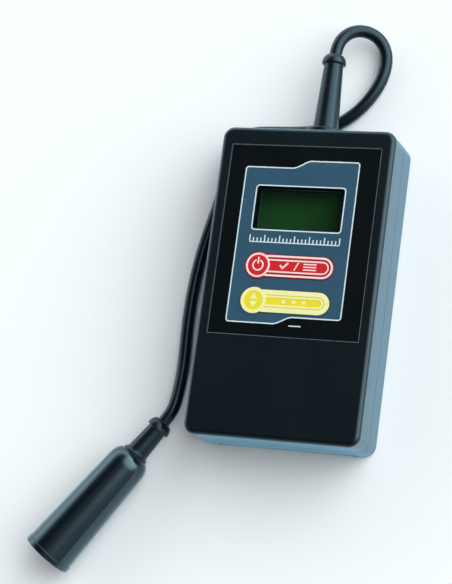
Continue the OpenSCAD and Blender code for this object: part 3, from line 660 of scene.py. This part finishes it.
def printed_film(name, ground_colour, field_colour):
    """A satin film whose field lies inside the stepped outline and outside the display's frame."""
    material, tree, shader = new_material(name, IOR=1.57, Specular_Tint=cool_haze["Specular_Tint"])
    place = add(tree, "ShaderNodeTexCoord").outputs["Object"]
    in_mm = add(tree, "ShaderNodeVectorMath", {0: place, 1: (1 / MM,) * 3}, operation="MULTIPLY")
    axes = add(tree, "ShaderNodeSeparateXYZ", {"Vector": in_mm.outputs["Vector"]}).outputs
    half_line = line_width / 2
    (left, low_left), (step_0, _), (step_1, low_right), (right_edge, _) = outline_corners[:4]
    (_, high_right), (high_1, _), (high_0, high_left), _ = outline_corners[4:]
    upper = add(
        tree, "ShaderNodeMapRange",
        {"Value": axes["X"], "From Min": high_0, "From Max": high_1, "To Min": high_left - half_line,
         "To Max": high_right - half_line},
    )
    lower = add(
        tree, "ShaderNodeMapRange",
        {"Value": axes["X"], "From Min": step_0, "From Max": step_1, "To Min": low_left + half_line,
         "To Max": low_right + half_line},
    )
    tests = [
        add(tree, "ShaderNodeMath", {0: axes["Y"], 1: upper.outputs["Result"]}, operation="LESS_THAN"),
        add(tree, "ShaderNodeMath", {0: axes["Y"], 1: lower.outputs["Result"]}, operation="GREATER_THAN"),
        add(tree, "ShaderNodeMath", {0: axes["X"], 1: left + half_line}, operation="GREATER_THAN"),
        add(tree, "ShaderNodeMath", {0: axes["X"], 1: right_edge - half_line}, operation="LESS_THAN"),
    ]
    field = tests[0].outputs["Value"]
    for test in tests[1:]:
        field = add(
            tree, "ShaderNodeMath", {0: field, 1: test.outputs["Value"]}, operation="MULTIPLY",
        ).outputs["Value"]
    across = add(tree, "ShaderNodeMath", {0: axes["X"]}, operation="ABSOLUTE")
    along = add(tree, "ShaderNodeMath", {0: axes["Y"], 1: display_y, 2: display_frame[1] - half_line},
                operation="COMPARE")
    beside = add(tree, "ShaderNodeMath", {0: across.outputs["Value"], 1: display_frame[0] - half_line},
                 operation="LESS_THAN")
    surround = add(tree, "ShaderNodeMath", {0: along.outputs["Value"], 1: beside.outputs["Value"]},
                   operation="MULTIPLY")
    field = add(tree, "ShaderNodeMath", {0: field, 1: surround.outputs["Value"]}, operation="SUBTRACT",
                use_clamp=True).outputs["Value"]
    grain, mottle = (
        add(tree, "ShaderNodeTexNoise", {"Vector": place, "Scale": 1 / (size * MM), "Detail": 2.0})
        for size in (film_grain, film_mottle)
    )
    slate = add(
        tree, "ShaderNodeMix", {"Factor": mottle.outputs["Fac"], 6: hex_colour(field_colour[0]),
        7: hex_colour(field_colour[1])}, data_type="RGBA",
    )
    colour = add(
        tree, "ShaderNodeMix", {"Factor": field, 6: hex_colour(ground_colour), 7: slate.outputs[2]},
        data_type="RGBA",
    )
    gloss = add(
        tree, "ShaderNodeMapRange",
        {"Value": mottle.outputs["Fac"], "To Min": film_rough[0], "To Max": film_rough[1]},
    )
    bump = add(tree, "ShaderNodeBump", {"Height": grain.outputs["Fac"], "Distance": film_relief * MM})
    tree.links.new(colour.outputs[2], shader.inputs["Base Color"])
    tree.links.new(gloss.outputs["Result"], shader.inputs["Roughness"])
    tree.links.new(bump.outputs["Normal"], shader.inputs["Normal"])
    return material


film = printed_film("polyester_film_printed", "#07090b", ("#304f63", "#37586d"))
moulded["front_label"].data.materials.append(film)
print("film nodes:", len(film.node_tree.nodes))

# %% [markdown]
# Inks
# The white lines and the keys' colours are screen inks on the film. Their colour is even, with a slight
# mottle from the mesh that they were pressed through, so the grained surface serves for them too, with
# small patches. The painted highlight along the film's edge gets a plain grey.

# %% Inks and keys
def ink(name, colours):
    """Screen ink: an even colour with a slight mottle from the mesh that it was pressed through."""
    return grained(name, colours, patch=2.5, rough=(0.38, 0.5), grain=0.5, relief=0.006)


label_print.data.materials.append(ink("ink_white", ("#cfdde3", "#dbe7ec")))
# Plain grey for the painted highlight along the film's edge.
label_edge_highlight.data.materials.append(ink("film_edge_highlight", ("#4a5459", "#566167")))
key_inks = {
    "ok_key": {
        "pad": ink("film_red", ("#c8121c", "#d51822")),
        "band": ink("ink_dark_red", ("#960d18", "#a4111d")),
        "pale": ink("ink_pale_pink", ("#fbd3cf", "#ffe2de")),
    },
    "function_key": {
        "pad": ink("film_yellow", ("#e8d61a", "#efdf26")),
        "band": ink("ink_dull_yellow", ("#d3c93a", "#dcd248")),
        "pale": ink("ink_pale_yellow", ("#f0eba0", "#f5f1b2")),
    },
}
ink_of_layer = {"band": "band", "lines": "pale", "head": "pad", "signs": "pale"}
for key, inks in key_inks.items():
    moulded[key].data.materials.append(inks["pad"])
    for part, tone in ink_of_layer.items():
        key_prints[key, part].data.materials.append(inks[tone])
print("inks on each key:", {key: len(inks) for key, inks in key_inks.items()})

# %% [markdown]
# Display
# The window is a clear acrylic pane. It is see-through by its alpha, so light still reaches the glass
# behind it. A pane that is nearly all see-through would show its own gloss as specks, so the gloss is
# left to the glass. That glass is a reflective green liquid-crystal display, switched off: dark green,
# with its character cells just visible. It is darker towards its top and right edges, which the case
# shades.

# %% The window
smear_size = 7
window_rough = (0.1, 0.2)
acrylic, tree, shader = new_material(
    "acrylic_window", Base_Color=hex_colour("#101812"), IOR=1.49, Alpha=0.08, Specular_IOR_Level=0.0,
)
place = add(tree, "ShaderNodeTexCoord").outputs["Object"]
smear = add(tree, "ShaderNodeTexNoise", {"Vector": place, "Scale": 1 / (smear_size * MM), "Detail": 2.0})
haze = add(
    tree, "ShaderNodeMapRange",
    {"Value": smear.outputs["Fac"], "To Min": window_rough[0], "To Max": window_rough[1]},
)
tree.links.new(haze.outputs["Result"], shader.inputs["Roughness"])
moulded["display_window"].data.materials.append(acrylic)
print("window alpha:", round(shader.inputs["Alpha"].default_value, 2))

# %% The display glass
cell_pitch = {"X": 2.0, "Y": 6.6}
cell_start = {"X": 0.0, "Y": display_y}
cell_fill = 0.84
cell_strength = 0.12
cloud_size = 16
lcd, tree, shader = new_material(
    "lcd_polariser_green", Roughness=0.25, IOR=1.5, Specular_IOR_Level=0.3,
)
place = add(tree, "ShaderNodeTexCoord").outputs["Object"]
axes = add(tree, "ShaderNodeSeparateXYZ", {"Vector": place}).outputs
inside = []
for axis, pitch in cell_pitch.items():
    steps = add(
        tree, "ShaderNodeMath", {0: axes[axis], 1: 1 / (pitch * MM), 2: -cell_start[axis] / pitch},
        operation="MULTIPLY_ADD",
    )
    part = add(tree, "ShaderNodeMath", {0: steps.outputs["Value"]}, operation="FRACT")
    inside.append(add(
        tree, "ShaderNodeMath", {0: part.outputs["Value"], 1: 0.5, 2: cell_fill / 2}, operation="COMPARE",
    ).outputs["Value"])
cell = add(tree, "ShaderNodeMath", {0: inside[0], 1: inside[1]}, operation="MULTIPLY")
cloud = add(tree, "ShaderNodeTexNoise", {"Vector": place, "Scale": 1 / (cloud_size * MM), "Detail": 1.0})
green = add(
    tree, "ShaderNodeMix", {"Factor": cloud.outputs["Fac"], 6: hex_colour("#16401c"),
    7: hex_colour("#1d4b23")}, data_type="RGBA",
)
cells = add(tree, "ShaderNodeMath", {0: cell.outputs["Value"], 1: cell_strength}, operation="MULTIPLY")
shown = add(
    tree, "ShaderNodeMix", {"Factor": cells.outputs["Value"], 6: green.outputs[2],
    7: hex_colour("#0d2410")}, data_type="RGBA",
)
print("character cells, mm:", cell_pitch)

# %% Shade the glass towards its top and right edges
right_shade = ("X", 0.0, display_high.x, 0.7)
top_shade = ("Y", display_y - 3, display_high.y, 0.9)
shades = [
    add(
        tree, "ShaderNodeMapRange",
        {"Value": axes[axis], "From Min": start * MM, "From Max": end * MM, "To Min": 0.0, "To Max": most},
        interpolation_type="SMOOTHSTEP",
    ).outputs["Result"]
    for axis, start, end, most in (right_shade, top_shade)
]
shade = add(tree, "ShaderNodeMath", {0: shades[0], 1: shades[1]}, operation="MAXIMUM")
shaded = add(
    tree, "ShaderNodeMix", {"Factor": shade.outputs["Value"], 6: shown.outputs[2],
    7: hex_colour("#08130b")}, data_type="RGBA",
)
tree.links.new(shaded.outputs[2], shader.inputs["Base Color"])
dress(lcd, "lcd_glass")

# %% [markdown]
# Metal, boards and windings
# These pieces show only when the case comes apart or the battery door is off, but they get their own
# finishes too. Rolled metal has fine lines along its length, a board has tracks under its green mask,
# and a winding shows its turns. Stretched noise, a brick pattern and a wave give all three at a size
# in millimetres. The lines and the turns are drawn coarser than the real ones.

# %% Rolled and drawn metal
line_stretch = 0.08


def metal(name, colours, rough, line):
    """Rolled or drawn metal: fine lines at the given spacing vary its colour and gloss."""
    material, tree, shader = new_material(name, Metallic=1.0)
    place = add(tree, "ShaderNodeTexCoord").outputs["Object"]
    drawn = add(tree, "ShaderNodeMapping", {"Vector": place, "Scale": (1.0, line_stretch, 1.0)})
    lines = add(
        tree, "ShaderNodeTexNoise",
        {"Vector": drawn.outputs["Vector"], "Scale": 1 / (line * MM), "Detail": 3.0},
    )
    tint = add(
        tree, "ShaderNodeMix", {"Factor": lines.outputs["Fac"], 6: hex_colour(colours[0]),
        7: hex_colour(colours[1])}, data_type="RGBA",
    )
    gloss = add(
        tree, "ShaderNodeMapRange",
        {"Value": lines.outputs["Fac"], "To Min": rough[0], "To Max": rough[1]},
    )
    tree.links.new(tint.outputs[2], shader.inputs["Base Color"])
    tree.links.new(gloss.outputs["Result"], shader.inputs["Roughness"])
    return material


# Zinc plate is a bright grey, black oxide a dark one, a nickel can nearly mirrors, and the blackened
# sheet of the display's frame is dull.
zinc = metal("zinc_plated_steel", ("#8d9194", "#a9adb0"), rough=(0.3, 0.45), line=0.4)
black_oxide = metal("black_oxide_steel", ("#34373a", "#45494d"), rough=(0.35, 0.5), line=0.4)
nickel = metal("nickel_can", ("#b4b7ba", "#cbced1"), rough=(0.2, 0.32), line=0.5)
blackened = metal("blackened_sheet", ("#202225", "#2b2d31"), rough=(0.4, 0.5), line=0.5)
moulded["case_screws"].data.materials.append(black_oxide)
dress(zinc, "board_screws")
dress(nickel, "crystal")
dress(blackened, "lcd_frame")

# %% Circuit boards
track_pitch, track_share, track_relief = 4, 0.09, 0.03
weave_size = 0.8
board_rough = (0.25, 0.4)


def circuit_board(name, mask, track):
    """Glass-epoxy board: square-cornered tracks show as paler lines under the solder mask."""
    material, tree, shader = new_material(name, IOR=1.55)
    place = add(tree, "ShaderNodeTexCoord").outputs["Object"]
    paths = add(
        tree, "ShaderNodeTexBrick",
        {"Vector": place, "Scale": 1 / (track_pitch * MM), "Mortar Size": track_share,
         "Color1": hex_colour(mask[0]), "Color2": hex_colour(mask[1]), "Mortar": hex_colour(track)},
    )
    weave = add(tree, "ShaderNodeTexNoise", {"Vector": place, "Scale": 1 / (weave_size * MM)})
    gloss = add(
        tree, "ShaderNodeMapRange",
        {"Value": weave.outputs["Fac"], "To Min": board_rough[0], "To Max": board_rough[1]},
    )
    bump = add(tree, "ShaderNodeBump", {"Height": paths.outputs["Fac"], "Distance": track_relief * MM})
    tree.links.new(paths.outputs["Color"], shader.inputs["Base Color"])
    tree.links.new(gloss.outputs["Result"], shader.inputs["Roughness"])
    tree.links.new(bump.outputs["Normal"], shader.inputs["Normal"])
    return material


dress(circuit_board("board_green", ("#125a33", "#166339"), "#2a8350"), "main_board", "lcd_board")

# %% The probe's winding
# The bands of a wave node at scale 1 are pi / 10 apart.
wave_period = math.pi / 10
sensing_face = next(m for m in frame["record"]["mounts"] if m["name"] == "sensing_face")
probe_turn = math.atan2(-sensing_face["axis"][1], -sensing_face["axis"][0])


def winding(name, colours, turn, relief):
    """Enamelled copper wire wound in close turns along the probe."""
    material, tree, shader = new_material(name, Metallic=1.0, Roughness=0.32)
    place = add(tree, "ShaderNodeTexCoord").outputs["Object"]
    along = add(tree, "ShaderNodeMapping", {"Vector": place, "Rotation": (0, 0, -probe_turn)})
    turns = add(
        tree, "ShaderNodeTexWave",
        {"Vector": along.outputs["Vector"], "Scale": wave_period / (turn * MM)}, bands_direction="X",
    )
    tint = add(
        tree, "ShaderNodeMix", {"Factor": turns.outputs["Fac"], 6: hex_colour(colours[0]),
        7: hex_colour(colours[1])}, data_type="RGBA",
    )
    bump = add(tree, "ShaderNodeBump", {"Height": turns.outputs["Fac"], "Distance": relief * MM})
    tree.links.new(tint.outputs[2], shader.inputs["Base Color"])
    tree.links.new(bump.outputs["Normal"], shader.inputs["Normal"])
    return material


dress(winding("enamelled_copper", ("#7a3413", "#c06a30"), turn=2.513, relief=0.1), "probe_coil")
print("materials in all:", len(bpy.data.materials))
